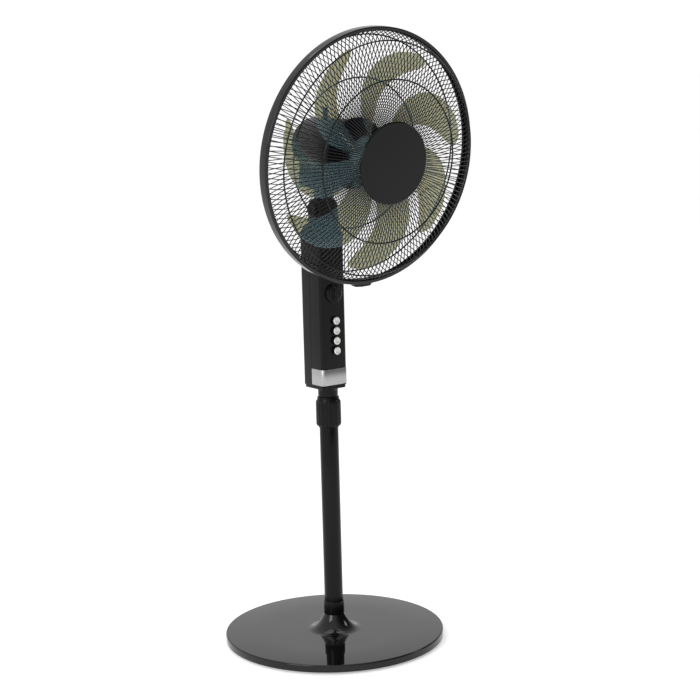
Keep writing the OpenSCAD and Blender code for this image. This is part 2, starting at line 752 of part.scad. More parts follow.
module fan_blade() {
    color([0.35, 0.4, 0.4, 0.7]) on_fan_axis() difference() {
        union() {
            rotate_extrude() polygon([[0, 114], [35, 114], [37, 118], [37, 146], [33, 150], [0, 150]]);
            for (i = [0:petals - 1]) rotate([0, 0, i * 360 / petals]) polyhedron(petal_points, petal_faces);
        }
        translate([0, 0, 100]) cylinder(r = shaft_r + 0.03, h = 80);
        translate([0, 0, 100]) rotate_extrude() polygon([[11, 0], [33.5, 0], [34.5, 44], [11, 44]]);
        translate([-10, -1.7, 110]) cube([20, 3.4, 10.8]);
    }
}

// Domed nut that holds the blade on the shaft.
module blade_nut() {
    color([0.04, 0.04, 0.045]) on_fan_axis() difference() {
        rotate_extrude() polygon(concat([[0, 150.1], [19, 150.1], [20, 152], [20, 158]],
            [for (t = [15:15:90]) [8 + 12 * cos(t), 158 + 18 * sin(t)]], [[0, 176]]));
        translate([0, 0, 140]) cylinder(r = shaft_r + 0.02, h = 34.2);
        for (a = [0:60:300]) rotate([0, 0, a]) translate([22, 0, 154]) cylinder(r = 3, h = 30);
    }
}

base_weight();
base_cover();
rubber_feet();
base_bolt();
ferrule();
outer_tube();
tube_guide();
collar_bush();
height_collar();
inner_tube();
pole_socket();
box_front();
box_rear();
silver_band();
switch_block();
timer_unit();
cord_gland();
box_screws();
for (i = [0:3]) key(i);
timer_knob();
tilt_clevis();
tilt_bolt();
tilt_knob();
neck();
swing_pin();
swing_stud();
swing_bracket();
rear_housing();
front_motor_cover();
stator();
motor_windings();
rear_bearing();
front_bearing();
gear_case();
rotor();
motor_shaft();
drive_pin();
worm_wheel();
crank();
crank_link();
swing_knob();
rear_grille();
grille_nut();
guard_ring();
ring_clip();
clip_screw();
front_grille();
front_cap();
fan_blade();
blade_nut();
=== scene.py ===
import math
import bmesh
import bpy
import numpy as np
from mathutils import Matrix, Vector


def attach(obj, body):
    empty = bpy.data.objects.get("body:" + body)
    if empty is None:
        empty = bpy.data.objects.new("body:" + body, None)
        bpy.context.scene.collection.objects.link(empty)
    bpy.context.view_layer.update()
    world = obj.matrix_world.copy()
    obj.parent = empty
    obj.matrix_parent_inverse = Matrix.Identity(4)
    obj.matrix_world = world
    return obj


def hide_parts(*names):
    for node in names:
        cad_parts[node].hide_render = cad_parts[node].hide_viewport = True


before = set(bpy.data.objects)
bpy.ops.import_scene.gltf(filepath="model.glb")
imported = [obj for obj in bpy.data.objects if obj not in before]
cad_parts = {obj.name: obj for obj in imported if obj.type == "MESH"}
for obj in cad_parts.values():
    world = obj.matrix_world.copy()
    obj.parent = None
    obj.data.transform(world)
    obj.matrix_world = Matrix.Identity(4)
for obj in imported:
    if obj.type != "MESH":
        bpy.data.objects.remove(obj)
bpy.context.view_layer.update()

# ---- Floor, light and camera ----
# A wide pale floor that glows a little, so that it stays even; a large soft lamp on the left, a weak one on
# the right and one overhead. The room is white behind and on the left, and dark in front on the right.
FLOOR_HALF = 60.0
floor_mesh = bpy.data.meshes.new("studio_floor")
floor_corners = [(x * FLOOR_HALF, y * FLOOR_HALF, 0) for x, y in ((-1, -1), (1, -1), (1, 1), (-1, 1))]
floor_mesh.from_pydata(floor_corners, [], [(0, 1, 2, 3)])
floor = bpy.data.objects.new("studio_floor", floor_mesh)
bpy.context.collection.objects.link(floor)
pale = bpy.data.materials.new("pale_floor")
pale.use_nodes = True
pale_shader = pale.node_tree.nodes["Principled BSDF"]
pale_shader.inputs["Base Color"].default_value = (0.78, 0.78, 0.78, 1)
pale_shader.inputs["Roughness"].default_value = 0.95
pale_shader.inputs["Emission Color"].default_value = (1, 1, 1, 1)
pale_shader.inputs["Emission Strength"].default_value = 0.42
floor.data.materials.append(pale)


def soft_lamp(name, place, aim, size, power):
    """A square area lamp of that side and power at place, turned to aim."""
    lamp = bpy.data.lights.new(name, "AREA")
    lamp.size, lamp.energy = size, power
    lamp_object = bpy.data.objects.new(name, lamp)
    lamp_object.location = place
    lamp_object.rotation_euler = (Vector(aim) - Vector(place)).to_track_quat("-Z", "Y").to_euler()
    bpy.context.collection.objects.link(lamp_object)


soft_lamp("left_softbox", (-3.2, -0.9, 1.9), (0, 0, 0.6), 1.6, 38)
soft_lamp("right_softbox", (2.6, -1.2, 1.9), (0, 0, 0.7), 0.8, 8)
soft_lamp("top_softbox", (0.2, 0.3, 3.4), (0, 0, 0.3), 2.4, 22)

room = bpy.data.worlds.new("bright_room")
room.use_nodes = True
bpy.context.scene.world = room
wn, wl = room.node_tree.nodes, room.node_tree.links
wn.clear()
direction = wn.new("ShaderNodeTexCoord")
towards_back_left = wn.new("ShaderNodeVectorMath")
towards_back_left.operation = "DOT_PRODUCT"
towards_back_left.inputs[1].default_value = (-0.7, 0.7, 0.1)
side_ramp = wn.new("ShaderNodeMapRange")
side_ramp.interpolation_type = "SMOOTHSTEP"
side_ramp.inputs["From Min"].default_value = -0.75
side_ramp.inputs["From Max"].default_value = 0.05
side_ramp.inputs["To Min"].default_value = 0.06
side_ramp.inputs["To Max"].default_value = 0.95
seen = wn.new("ShaderNodeBackground")
seen.inputs["Strength"].default_value = 1.05
lit = wn.new("ShaderNodeBackground")
path = wn.new("ShaderNodeLightPath")
pick = wn.new("ShaderNodeMixShader")
world_out = wn.new("ShaderNodeOutputWorld")
seen.inputs["Color"].default_value = (1, 1, 1, 1)
lit.inputs["Color"].default_value = (1, 1, 1, 1)
wl.new(direction.outputs["Generated"], towards_back_left.inputs[0])
wl.new(towards_back_left.outputs["Value"], side_ramp.inputs["Value"])
wl.new(side_ramp.outputs[0], lit.inputs["Strength"])
wl.new(path.outputs["Is Camera Ray"], pick.inputs[0])
wl.new(lit.outputs[0], pick.inputs[1])
wl.new(seen.outputs[0], pick.inputs[2])
wl.new(pick.outputs[0], world_out.inputs[0])
bpy.context.scene.view_settings.view_transform = "Standard"

eye, aim = Vector((-1.780, -2.424, 1.050)), Vector((0.0332, -0.0251, 0.535))
forward = (aim - eye).normalized()
right = forward.cross(Vector((0, 0, 1))).normalized()
up = right.cross(forward)
ROLL = -0.02599
right, up = (math.cos(ROLL) * right + math.sin(ROLL) * up, -math.sin(ROLL) * right + math.cos(ROLL) * up)
camera_data = bpy.data.cameras.new("camera")
camera_data.lens, camera_data.sensor_width = 87.5, 36
camera = bpy.data.objects.new("camera", camera_data)
camera.matrix_world = Matrix.Translation(eye) @ Matrix((right, up, -forward)).transposed().to_4x4()
bpy.context.collection.objects.link(camera)
bpy.context.scene.camera = camera

# ---- Rubber feet ----
# Six round pads of soft black rubber, pushed into the underside of the base near its rim. Their lower
# edges are rounded a little, and they keep the base off the floor.
MM = 0.001


def turned(outline, around=96, closed=False):
    """Outline points (radius, height) carried round Z: x = r cos a, y = r sin a, z = h. The outline runs from
    the axis at the bottom, outwards and up, to the axis at the top; a closed one is a ring's section."""
    r, h = np.asarray(outline, float).T
    a = np.arange(around) * 2 * np.pi / around
    points = np.stack([r[:, None] * np.cos(a), r[:, None] * np.sin(a), np.repeat(h[:, None], around, 1)], -1)
    return points.reshape(-1, 3), grid_quads(len(r), around, closed, True)


def grid_quads(rows, cols, wrap_rows, wrap_cols):
    """The four corners of each cell of a grid of points, row by row."""
    i = np.arange(rows if wrap_rows else rows - 1)[:, None]
    j = np.arange(cols if wrap_cols else cols - 1)[None]
    i2, j2 = (i + 1) % rows, (j + 1) % cols
    return np.stack([i * cols + j, i * cols + j2, i2 * cols + j2, i2 * cols + j], -1).reshape(-1, 4).tolist()


def moved(shape, x=0, z=0):
    """The shape shifted along X and Z."""
    return shape[0] + np.array([x, 0, z], float), shape[1]


def spun(shape, degrees):
    """The shape turned about Z."""
    c, s = math.cos(math.radians(degrees)), math.sin(math.radians(degrees))
    return shape[0] @ np.array([[c, s, 0], [-s, c, 0], [0, 0, 1]]), shape[1]


def piece(name, shapes, body, material, stands_for=(), place=None, crease=38):
    """One object from shapes in millimetres: place maps their points into the fan's frame, doubled points at
    poles and seams are merged, and edges sharper than the crease angle stay sharp."""
    points, faces = [], []
    for shape_points, shape_faces in shapes:
        start = sum(len(p) for p in points)
        points.append(place(shape_points) if place else shape_points)
        faces += [[k + start for k in f] for f in shape_faces]
    mesh = bpy.data.meshes.new(name)
    mesh.from_pydata((np.concatenate(points) * MM).tolist(), [], faces)
    made = bmesh.new()
    made.from_mesh(mesh)
    bmesh.ops.remove_doubles(made, verts=made.verts, dist=2e-6)
    made.to_mesh(mesh)
    made.free()
    mesh.shade_smooth()
    mesh.set_sharp_from_angle(angle=math.radians(crease))
    mesh.materials.append(material)
    made_object = bpy.data.objects.new(name, mesh)
    bpy.context.collection.objects.link(made_object)
    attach(made_object, body)
    if stands_for:
        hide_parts(*stands_for)


def moulding(name, colour, roughness, grain=900.0, depth=0.05, cloud=9.0, spread=0.06, metal=0.0, ior=1.46,
             coat=0.0,
             stretch=(1, 1, 1)):
    """A moulded or coated finish: fine grain as bump, and slow clouds that shift colour and roughness a
    little. grain and cloud are noise scales per metre; stretch draws the grain out along an axis, as brushing
    does."""
    made = bpy.data.materials.new(name)
    made.use_nodes = True
    nodes, links = made.node_tree.nodes, made.node_tree.links
    shader = nodes["Principled BSDF"]
    shader.inputs["Metallic"].default_value = metal
    shader.inputs["IOR"].default_value = ior
    shader.inputs["Coat Weight"].default_value = coat
    shader.inputs["Coat Roughness"].default_value = 0.04
    where = nodes.new("ShaderNodeTexCoord")
    drawn = nodes.new("ShaderNodeMapping")
    drawn.inputs["Scale"].default_value = stretch
    links.new(where.outputs["Object"], drawn.inputs["Vector"])
    fine, slow = nodes.new("ShaderNodeTexNoise"), nodes.new("ShaderNodeTexNoise")
    fine.inputs["Scale"].default_value, slow.inputs["Scale"].default_value = grain, cloud
    fine.inputs["Detail"].default_value = 2
    links.new(drawn.outputs["Vector"], fine.inputs["Vector"])
    links.new(where.outputs["Object"], slow.inputs["Vector"])
    tone = nodes.new("ShaderNodeMix")
    tone.data_type = "RGBA"
    tone.inputs["A"].default_value = (*[c * 0.86 for c in colour], 1)
    tone.inputs["B"].default_value = (*[min(1, c * 1.14) for c in colour], 1)
    links.new(slow.outputs["Fac"], tone.inputs["Factor"])
    links.new(tone.outputs["Result"], shader.inputs["Base Color"])
    gloss = nodes.new("ShaderNodeMapRange")
    gloss.inputs["To Min"].default_value = max(0.0, roughness - spread)
    gloss.inputs["To Max"].default_value = roughness + spread
    links.new(fine.outputs["Fac"], gloss.inputs["Value"])
    links.new(gloss.outputs["Result"], shader.inputs["Roughness"])
    bump = nodes.new("ShaderNodeBump")
    bump.inputs["Strength"].default_value = depth
    bump.inputs["Distance"].default_value = 0.0004
    links.new(fine.outputs["Fac"], bump.inputs["Height"])
    links.new(bump.outputs["Normal"], shader.inputs["Normal"])
    return made


soft_rubber = moulding("soft_rubber", (0.012, 0.012, 0.012), 0.7, grain=1500, depth=0.25, ior=1.3)
foot = turned([(0, 0), (9.4, 0), (10.4, 0.3), (11, 1), (11, 4), (0, 4)], 40)
FOOT_RING, FOOT_TURN = 172, 8
piece("rubber_foot_pads", [spun(moved(foot, FOOT_RING), FOOT_TURN + 60 * k) for k in range(6)], "stand",
      soft_rubber,
      ["rubber_feet"])

# ---- Base cover ----
# One large moulding in mirror-gloss black: a flat top, a short rounded skirt, and a boss that sweeps up to
# the pole. It snaps over the cast weight.


def fillet(corner_r, corner_h, radius, start, end, steps=6):
    """Points of a quarter round of that radius about (corner_r, corner_h), from angle start to end."""
    a = np.radians(np.linspace(start, end, steps + 1))
    return np.stack([corner_r + radius * np.cos(a), corner_h + radius * np.sin(a)], -1).tolist()


BASE_R, BASE_TOP, BOSS_TOP = 200, 17, 46
sweep = np.linspace(0, 1, 25)
boss = np.stack([52 - 33.4 * sweep, BASE_TOP + (BOSS_TOP - BASE_TOP) * sweep ** 2.4], -1).tolist()
mirror_black = moulding("mirror_black", (0.004, 0.004, 0.004), 0.03, grain=60, depth=0.004, spread=0.012,
                        ior=1.4)
piece("base_top_cover", [turned(
    [(195.6, 3.4)] + fillet(BASE_R - 1.4, 4.8, 1.4, -90, 0, 4)
    + fillet(BASE_R - 2.6, BASE_TOP - 2.6, 2.6, 0, 90, 8)
    + [(120, BASE_TOP)] + boss + [(18.2, BOSS_TOP), (8.4, BOSS_TOP), (8.4, 12.6), (195.6, 12.6)], 192,
                                closed=True)],
    "stand", mirror_black, ["base_cover"], crease=40)

# ---- Pole: ferrule, lower tube and inner tube ----
# The ferrule is a moulded collar pressed over the foot of the pole. The lower tube is steel with gloss
# black paint, and the inner tube inside it is chromed.
satin_black = moulding("satin_black", (0.0045, 0.0045, 0.005), 0.24, grain=1300, depth=0.06, spread=0.05,
                       ior=1.24)
piece("pole_ferrule", [turned(
    [(17.06, BOSS_TOP)] + fillet(18.1, BOSS_TOP + 0.5, 0.5, -90, 0, 2) + [(18.5, 60)]
    + fillet(17.5, 69.5, 1, 0, 90, 4) + [(17.06, 70.5)], 80, closed=True)],
    "stand", satin_black, ["ferrule"])
gloss_paint = moulding("gloss_paint", (0.004, 0.004, 0.005), 0.12, grain=500, depth=0.03, spread=0.04,
                       ior=1.26)
piece("lower_pole_tube", [turned(
    [(8.2, BOSS_TOP), (17, BOSS_TOP), (17, 200)] + fillet(16.5, 395.5, 0.5, 0, 90, 3)
    + [(15, 396), (15, 60), (8.2, 60)],
    96, closed=True)], "stand", gloss_paint, ["outer_tube"])
bright_chrome = moulding("bright_chrome", (0.78, 0.78, 0.8), 0.08, grain=700, depth=0.01, spread=0.03,
                         metal=1)
piece("sliding_inner_tube", [turned([(11.5, 120), (13, 120), (13, 515), (11.5, 515)], 96, closed=True)],
      "mast", bright_chrome, ["inner_tube"])

# ---- Height collar ----
# A moulded nut with broad upright ribs for the hand. It screws onto the top of the lower tube, squeezes the
# bush inside it, and so clamps the inner tube at the set height.
COLLAR_LOW, COLLAR_H, COLLAR_R, RIBS, RIB_DEEP = 399, 53, 22.75, 18, 1.25
COLLAR_AROUND = RIBS * 14
collar_form = np.array([
    (18.9, 0), (COLLAR_R - 1.7, 0), (COLLAR_R - 1.0, 0.6), (COLLAR_R - 0.6, 1.6), (COLLAR_R - 0.2, 3.2),
    (COLLAR_R - 0.1, 6), (COLLAR_R - 0.1, 24), (COLLAR_R - 0.2, 42), (COLLAR_R - 0.5, 44.5),
    (COLLAR_R - 1.5, 46.2), (COLLAR_R - 2.4, 47.4), (COLLAR_R - 2.8, 49), (COLLAR_R - 3.0, 51.8),
    (COLLAR_R - 3.3, 52.7), (COLLAR_R - 3.9, COLLAR_H), (13.5, COLLAR_H), (13.5, 46), (18.9, 46)])
collar_points, collar_faces = turned(collar_form, COLLAR_AROUND, closed=True)
# The turned form with its outside drawn in between the ribs: r = form - RIB_DEEP (1 - wave) share, where the
# wave is a flat-topped cosine of RIBS times the angle, and the share fades the ribs out at top and bottom.
collar_reach = np.hypot(collar_points[:, 0], collar_points[:, 1])
turn_angle = np.arctan2(collar_points[:, 1], collar_points[:, 0])
rib_wave = 0.5 + 0.5 * np.tanh(3.2 * (np.cos(RIBS * turn_angle) + 0.35))
rib_share = np.interp(collar_points[:, 2], [0, 1.5, 4, 42, 45, 47],
                      [0, 0.2, 1, 1, 0.5, 0]) * (collar_reach > 19.2)
shrink = 1 - (RIB_DEEP * (1 - rib_wave) * rib_share) / np.maximum(collar_reach, 1)
collar_points = collar_points * np.stack([shrink, shrink, np.ones_like(shrink)], -1)
piece("ribbed_height_collar", [moved((collar_points, collar_faces), z=COLLAR_LOW)], "collar", satin_black,
      ["height_collar"], crease=50)

# ---- Sleeve under the box ----
# A round moulded sleeve on the inner tube, in one with the plate that closes the control box from below.


def rounded_plan(half_w, front, back, radius, corner_steps=8):
    """A rectangle with round corners, seen from above, anticlockwise from the front right corner."""
    loop = []
    for cx, cy, start in ((half_w - radius, front + radius, -90), (half_w - radius, back - radius, 0),
                          (radius - half_w, back - radius, 90), (radius - half_w, front + radius, 180)):
        a = np.radians(np.linspace(start, start + 90, corner_steps + 1))
        loop += np.stack([cx + radius * np.cos(a), cy + radius * np.sin(a)], -1).tolist()
    return np.array(loop)


def stacked(loops, heights):
    """Plan loops of one length, one above another, closed by a flat face at each end."""
    count = len(loops[0])
    points = np.concatenate([np.c_[np.asarray(p), np.full(count, h)] for p, h in zip(loops, heights)])
    faces = grid_quads(len(loops), count, False, True)
    faces += [list(range(count))[::-1], [(len(loops) - 1) * count + k for k in range(count)]]
    return points, faces


BOX_W, BOX_FRONT, BOX_BACK, BOX_R = 27.5, -24, 37, 7
lip_insets = [(3.0, 468.1), (2.2, 468.4), (1.8, 469.1), (1.8, 472.8)]
box_lip = stacked([rounded_plan(BOX_W - i, BOX_FRONT + i, BOX_BACK - i, BOX_R - i) for i, _ in lip_insets],
                  [h for _, h in lip_insets])
sleeve = turned([(13.1, 452.7), (17.4, 452.7), (18, 453.3), (18, 463), (18.6, 466), (20.5, 468),
                 (20.5, 468.4),
                 (13.1, 468.4)], 80, closed=True)
piece("sleeve_under_box", [box_lip, sleeve], "mast", satin_black, ["pole_socket"])

# ---- Control box ----
# Two deep mouldings that meet in a fine groove along both sides, with soft edges and a domed top that the
# tilt joint grows out of. Screws from the back hold the halves together.
SPLIT_Y, SHOULDER_W, SHOULDER_D = 9, 23, 26


def box_loop(half_w, front, back, radius):
    """The box's plan with a small groove in each side at the parting line."""
    plan = rounded_plan(half_w, front, back, radius)
    steps = len(plan) // 4
    y = min(max(SPLIT_Y, front + radius + 1), back - radius - 1)
    deep = min(0.7, half_w / 8)
    notch = np.array([(half_w, y - 0.5), (half_w - deep, y), (half_w, y + 0.5)])
    return np.concatenate([plan[:steps], notch, plan[steps:3 * steps], notch[::-1] * [-1, 1],
                           plan[3 * steps:]])


box_levels = [(473.0, 1.4), (473.2, 0.8), (473.7, 0.2), (474.4, 0.0), (560, 0.0), (660, 0.0)]
box_loops = [box_loop(BOX_W - i, BOX_FRONT + i, BOX_BACK - i, BOX_R - i) for _, i in box_levels]
box_heights = [h for h, _ in box_levels]
box_mid, box_half = (BOX_FRONT + BOX_BACK) / 2, (BOX_BACK - BOX_FRONT) / 2
for height in 744 + 26 * np.sin(np.radians(np.linspace(0, 90, 19))):
    w = BOX_W - SHOULDER_W + math.sqrt(max(0, SHOULDER_W ** 2 - max(0, height - 747) ** 2))
    d = box_half - SHOULDER_D + math.sqrt(max(0, SHOULDER_D ** 2 - max(0, height - 744) ** 2))
    box_loops.append(box_loop(w, box_mid - d, box_mid + d,
                              min(BOX_R + max(0, height - 744) * 0.5, w * 0.9, d * 0.9)))
    box_heights.append(height)
piece("control_box_case", [stacked(box_loops, box_heights)], "mast", satin_black, ["box_front", "box_rear"],
      crease=34)

# ---- Silver band ----
# A thin strip with a brushed silver finish, wrapped round the lower front of the box and its two corners.
# It ends at the groove between the halves, and its long edges are bevelled.


def carried(path, section):
    """A closed section (outwards, up) carried along an open plan path with its ends closed. Outwards is
    square to the path, on its right."""
    path = np.asarray(path, float)
    step = np.gradient(path, axis=0)
    out = np.stack([step[:, 1], -step[:, 0]], -1) / np.linalg.norm(step, axis=1)[:, None]
    section = np.asarray(section, float)
    points = np.concatenate([path[:, None, :] + out[:, None, :] * section[None, :, :1],
                             np.broadcast_to(section[None, :, 1:], (len(path), len(section), 1))], -1)
    count = len(section)
    faces = [f[::-1] for f in grid_quads(len(path), count, False, True)]
    faces += [list(range(count)), [(len(path) - 1) * count + k for k in range(count)][::-1]]
    return points.reshape(-1, 3), faces


band_plan = rounded_plan(BOX_W, BOX_FRONT, BOX_BACK, BOX_R, 12)
band_path = np.concatenate([[(-BOX_W, SPLIT_Y - 0.2), (-BOX_W, 0), (-BOX_W, -10)], band_plan[39:52],
                            band_plan[:13],
                            [(BOX_W, -10), (BOX_W, 0), (BOX_W, SPLIT_Y - 0.2)]])
brushed_silver = moulding("brushed_silver", (0.42, 0.42, 0.42), 0.40, grain=40, depth=0.10, spread=0.10,
                          metal=0.94,
                          cloud=14, stretch=(1, 1, 55))
piece("silver_band_strip",
      [carried(band_path, [(-0.8, 476.1), (0.35, 476.1), (0.6, 476.4), (0.6, 504.6), (0.35, 504.9),
                                               (-0.8, 504.9)])],
      "mast", brushed_silver, ["silver_band"], crease=50)

# ---- Push keys ----
# Four round keys above each other. Each is a lacquered silver cap with a rounded edge and a dished middle,
# on a black shank that goes through the case to the switches.
KEY_X, KEY_LOW, KEY_PITCH, KEY_R, KEY_PROUD = 2, 538, 18, 7.75, 7
silver_lacquer = moulding("silver_lacquer", (0.66, 0.65, 0.63), 0.3, grain=2200, depth=0.05, metal=0.25,
                          coat=0.4)


def facing_front(x, z):
    """Places a shape that was made round Z so that its top faces the fan's front, at (x, z) on the box."""
    return lambda p: np.stack([p[:, 0] + x, BOX_FRONT - p[:, 2], p[:, 1] + z], -1)


key_cap = turned([(0, 5.1), (6.9, 5.1)] + fillet(5.2, KEY_PROUD - 1.7, 1.7, 5, 75, 6)
                 + [(4.6, KEY_PROUD - 0.05), (3.4, KEY_PROUD - 0.4), (2.0, KEY_PROUD - 0.65),
                    (0, KEY_PROUD - 0.75)], 64)
key_shank = turned([(0, -12.5), (3, -12.5), (3, -7), (KEY_R - 0.2, -7), (KEY_R - 0.2, 4.6),
                    (KEY_R - 0.6, 5.1), (6.9, 5.2),
                    (0, 5.2)], 48)
for row, key_name in enumerate(("off", "low", "medium", "high")):
    spot = facing_front(KEY_X, KEY_LOW + row * KEY_PITCH)
    piece(key_name + "_key_cap", [key_cap], key_name + "_key", silver_lacquer, [key_name + "_key"],
          spot)
    piece(key_name + "_key_shank", [key_shank], key_name + "_key", satin_black, (), spot)

# ---- Timer knob ----
# A round moulded dial with a rolled edge and an upright grip bar across its face. It sits above the keys
# and winds the timer behind the case.
TIMER_Z, TIMER_R, DIAL_AROUND, BAR_HIGH, BAR_HALF = 641, 17, 160, 5.4, 3.4
# Height over (ring, turn): a turned outline plus the bar, BAR_HIGH times one soft step that falls off beyond
# BAR_HALF across and one that falls off near the edge of the face.
rings_out = np.concatenate([[0], np.linspace(1.2, 14, 22),
                            [14.6, 15.2, 15.9, 16.5, 16.85, TIMER_R, TIMER_R, TIMER_R - 0.5]])
dial_height = np.concatenate([np.full(1, 6.3), 6.3 - 0.35 * (np.linspace(1.2, 14, 22) / 14) ** 2,
                              [5.6, 4.9, 4.3, 3.9, 3.5, 3.0, 0.8, 0.35]])
dial_turn = np.arange(DIAL_AROUND) * 2 * np.pi / DIAL_AROUND
dial_x, dial_y = rings_out[:, None] * np.cos(dial_turn), rings_out[:, None] * np.sin(dial_turn)
bar = (BAR_HIGH / (1 + np.exp((np.abs(dial_x) - BAR_HALF) * 4.5))
       / (1 + np.exp((np.hypot(dial_x, dial_y) - 14.6) * 3.5)))
dial = np.stack([dial_x, dial_y, dial_height[:, None] + bar], -1)
dial_points = np.concatenate([dial[::-1].reshape(-1, 3), [[0, 0, 0.35]]])
dial_faces = grid_quads(len(rings_out), DIAL_AROUND, False, True)
dial_faces += [[(k + 1) % DIAL_AROUND, len(dial_points) - 1, k] for k in range(DIAL_AROUND)]
piece("timer_dial", [(dial_points, dial_faces)], "timer_knob", satin_black,
      ["timer_knob"], facing_front(0, TIMER_Z), crease=60)

# ---- Tilt joint: cheeks, bolt and hand knob ----
# Two moulded cheeks stand up out of the box. A plated bolt runs through them and the neck's eye, and a
# round hand knob on its end clamps the tilt.
TILT_Z, CHEEK_R, CHEEK_IN, CHEEK_OUT = 790, 19.6, 12, 19


def cheek_outline(inset):
    """A tongue with a round top, in (depth, height), smaller all round by the inset."""
    a = np.radians(np.linspace(0, 180, 33))
    r = CHEEK_R - inset
    top = np.stack([r * np.cos(a), TILT_Z + r * np.sin(a)], -1)
    return np.concatenate([[(r + 3, 735), (r + 1.2, 760), (r + 0.3, 776)], top,
                           [(-r - 0.3, 776), (-r - 1.2, 760), (-r - 3, 735)]])


def across(shape):
    """Turns a shape stacked along Z so that it is stacked along X."""
    return np.stack([shape[0][:, 2], shape[0][:, 0], shape[0][:, 1]], -1), shape[1]


cheeks = []
for inner, outer in ((CHEEK_IN, CHEEK_OUT), (-CHEEK_OUT, -CHEEK_IN)):
    soft = 1.6
    steps = ([(inner, 0.5), (inner + 0.5, 0)] if inner > 0
             else [(inner, soft), (inner + 0.5, 0.5), (inner + soft, 0)])
    steps += ([(outer - soft, 0), (outer - 0.5, 0.5), (outer, soft)] if inner > 0
              else [(outer - 0.5, 0), (outer, 0.5)])
    cheeks.append(across(stacked([cheek_outline(i) for _, i in steps], [x for x, _ in steps])))
cheek_block = stacked([rounded_plan(CHEEK_OUT, -22, 22, 4)] * 2, [724, 766])
piece("tilt_cheeks", cheeks + [cheek_block], "mast", satin_black, ["tilt_clevis"])


def towards_left(x):
    """Places a shape that was made round Z on the tilt bolt, with its top towards -X."""
    return lambda p: np.stack([x - p[:, 2], -p[:, 0], p[:, 1] + TILT_Z], -1)


# A turned dome, flattened above 5 mm, whose side swells by 3.5 percent of its radius at 12 finger ribs: the
# swell is the cosine of 12 times the angle, faded out at the bottom edge and towards the crown.
knob_points, knob_faces = turned([(0, 0), (12.2, 0), (12.9, 0.5), (13.2, 1.2), (13.2, 5)]
    + fillet(7.2, 5, 6, 0, 90, 10)[1:] + [(5.4, 7.9), (0, 10.3)], 144)
knob_points[:, 2] = np.where(knob_points[:, 2] > 5, 5 + (knob_points[:, 2] - 5) * 0.47, knob_points[:, 2])
knob_reach = np.hypot(knob_points[:, 0], knob_points[:, 1])
knob_ribs = 1 + 0.035 * np.cos(12 * np.arctan2(knob_points[:, 1], knob_points[:, 0])) * (knob_reach > 12) * (
    np.interp(knob_points[:, 2], [0, 1.2, 5, 7], [0, 1, 1, 0]))
knob_points[:, :2] *= knob_ribs[:, None]
piece("tilt_hand_knob", [(knob_points, knob_faces)], "tilt_knob", satin_black, ["tilt_knob"],
      towards_left(-CHEEK_OUT - 0.4), crease=45)

# ---- Neck ----
# One moulding: a round eye between the cheeks, and above it a square post that widens into the round collar
# under the motor housing. The swing pin stands in it.
TILT = math.radians(7.6)


def in_head(p):
    """From the head's own frame, with its origin on the tilt bolt and Z along the swing axis."""
    c, s = math.cos(TILT), math.sin(TILT)
    return np.stack([p[:, 0], p[:, 1] * c - p[:, 2] * s, TILT_Z + p[:, 1] * s + p[:, 2] * c], -1)


eye_half = 11.6
eye_disc = across(turned([(0, -eye_half), (18, -eye_half), (19, 1 - eye_half), (19, eye_half - 1),
                          (18, eye_half),
                          (0, eye_half)], 72))
neck_square = rounded_plan(eye_half, -15, 15, 5, 12)
around_plan = np.arctan2(neck_square[:, 1], neck_square[:, 0])
neck_round = np.stack([np.cos(around_plan), np.sin(around_plan)], -1)
neck_levels = [(2, 0, 0), (14, 0, 0), (18, 0.25, 16), (21, 0.7, 17.3), (23.5, 1, 18), (32.6, 1, 18),
               (33.6, 1, 17.6), (34, 1, 16.8)]
neck_post = stacked([neck_square * (1 - mix) + neck_round * radius * mix for _, mix, radius in neck_levels],
                    [h for h, _, _ in neck_levels])
piece("neck_moulding", [eye_disc, neck_post], "neck", satin_black, ["neck"], in_head)

# ---- Motor housing ----
# One deep moulding: full and round at the front, a little narrower and domed at the back, with a chin that
# blends down to the neck. Raised louvres guard the vent at its back.
AXIS_UP, HOUSING_FRONT, DOME_Z, DOME_R = 112, 60, -38, 44


def on_fan_axis(p):
    """From the fan's frame: X across, Y up and Z forward along the fan axis from the swing axis."""
    return in_head(np.stack([p[:, 0], -p[:, 2], p[:, 1] + AXIS_UP], -1))


def body_radius(z):
    """54 mm at the front, straight down to 44 at the dome, then an ellipse to the axis."""
    dome = DOME_R * np.sqrt(np.clip(1 - ((DOME_Z - z) / 22) ** 2, 0, 1))
    return np.where(z < DOME_Z, dome, np.interp(z, [DOME_Z, 0, 47, HOUSING_FRONT], [44, 48.5, 54, 54]))


def two_sheets(first, second):
    """A thin solid between two grids of points of one size: the cells of the first grid in their own order,
    those of the second turned over, and a strip of cells that joins the two round the rim."""
    rows, cols = first.shape[:2]
    count = rows * cols
    cells = grid_quads(rows, cols, False, False)
    rim = ([k * cols for k in range(rows)] + [(rows - 1) * cols + k for k in range(1, cols)]
           + [k * cols + cols - 1 for k in range(rows - 2, -1, -1)] + list(range(cols - 2, 0, -1)))
    strip = [[a, b, b + count, a + count] for a, b in zip(rim, rim[1:] + rim[:1])]
    faces = cells + [[k + count for k in cell[::-1]] for cell in cells] + strip
    return np.concatenate([first.reshape(-1, 3), second.reshape(-1, 3)]), faces


HOUSING_AROUND, CHIN_HALF, CHIN_DOWN, SOFT = 144, 27, 76, 5.0
